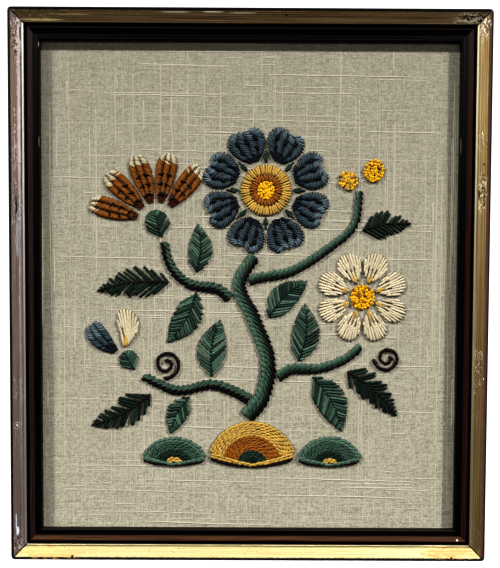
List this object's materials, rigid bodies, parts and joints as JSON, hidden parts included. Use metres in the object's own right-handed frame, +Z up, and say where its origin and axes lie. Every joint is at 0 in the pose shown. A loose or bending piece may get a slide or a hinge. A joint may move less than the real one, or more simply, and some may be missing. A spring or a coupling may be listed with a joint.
{
  "type": "framed crewel embroidery panel",
  "caption": "Crewel wool embroidery of a flowering spray on slubbed linen, stretched in a gilt frame with a dark liner.",
  "frame": {"origin": "on the back of the top rail, at its middle, 3 mm below the frame's top edge, where the frame meets the wall", "axes": "+X to the right as seen from the front, +Y towards the wall, +Z up; the work faces -Y"},
  "size_m": [0.41, 0.024, 0.4725],
  "materials": {
    "gilding": "worn bronze-gold gilding on wood",
    "walnut": "dark walnut stain, satin",
    "linen": "plain slubbed weave, matt",
    "grey_board": "plain, matt",
    "slate_blue_wool": "matt twisted wool, softly sheened",
    "rust_wool": "matt twisted wool, softly sheened",
    "gold_wool": "matt twisted wool, softly sheened",
    "yellow_wool": "matt twisted wool, softly sheened",
    "cream_wool": "matt twisted wool, softly sheened",
    "sage_wool": "matt twisted wool, softly sheened",
    "dark_green_wool": "matt twisted wool, softly sheened",
    "dark_brown_wool": "matt twisted wool, softly sheened"
  },
  "bodies": {
    "root": {"berries_high": "yellow_wool", "berries_low": "yellow_wool", "bloom_heart": "gold_wool", "bloom_petal_1": "slate_blue_wool", "bloom_petal_2": "slate_blue_wool", "bloom_petal_3": "slate_blue_wool", "bloom_petal_4": "slate_blue_wool", "bloom_petal_5": "slate_blue_wool", "bloom_petal_6": "slate_blue_wool", "bloom_petal_7": "slate_blue_wool", "bloom_petal_8": "slate_blue_wool", "branch_left_high": "sage_wool", "branch_left_low": "sage_wool", "branch_right_high": "sage_wool", "branch_right_low": "sage_wool", "bud_calyx": "sage_wool", "bud_petal_left": "slate_blue_wool", "bud_petal_right": "cream_wool", "carnation_calyx": "sage_wool", "carnation_petal_1": "rust_wool", "carnation_petal_2": "rust_wool", "carnation_petal_3": "rust_wool", "carnation_petal_4": "rust_wool", "carnation_petal_5": "rust_wool", "curl_left": "dark_brown_wool", "curl_right": "dark_brown_wool", "daisy_heart": "yellow_wool", "daisy_petal_1": "cream_wool", "daisy_petal_2": "cream_wool", "daisy_petal_3": "cream_wool", "daisy_petal_4": "cream_wool", "daisy_petal_5": "cream_wool", "daisy_petal_6": "cream_wool", "daisy_petal_7": "cream_wool", "daisy_petal_8": "cream_wool", "frond_left_high": "dark_green_wool", "frond_left_low": "dark_green_wool", "frond_right_high": "dark_green_wool", "frond_right_low": "dark_green_wool", "gilt_bottom": "gilding", "gilt_left": "gilding", "gilt_right": "gilding", "gilt_top": "gilding", "leaf_left_hanging": "sage_wool", "leaf_left_high": "sage_wool", "leaf_left_low": "sage_wool", "leaf_left_middle": "sage_wool", "leaf_right_high": "sage_wool", "leaf_right_low": "sage_wool", "leaf_right_middle": "sage_wool", "linen": "linen", "liner_bottom": "walnut", "liner_left": "walnut", "liner_right": "walnut", "liner_top": "walnut", "main_stem": "sage_wool", "mound_left": "sage_wool", "mound_middle": "gold_wool", "mound_right": "sage_wool", "mounting_board": "grey_board"}
  },
  "joints": []
}
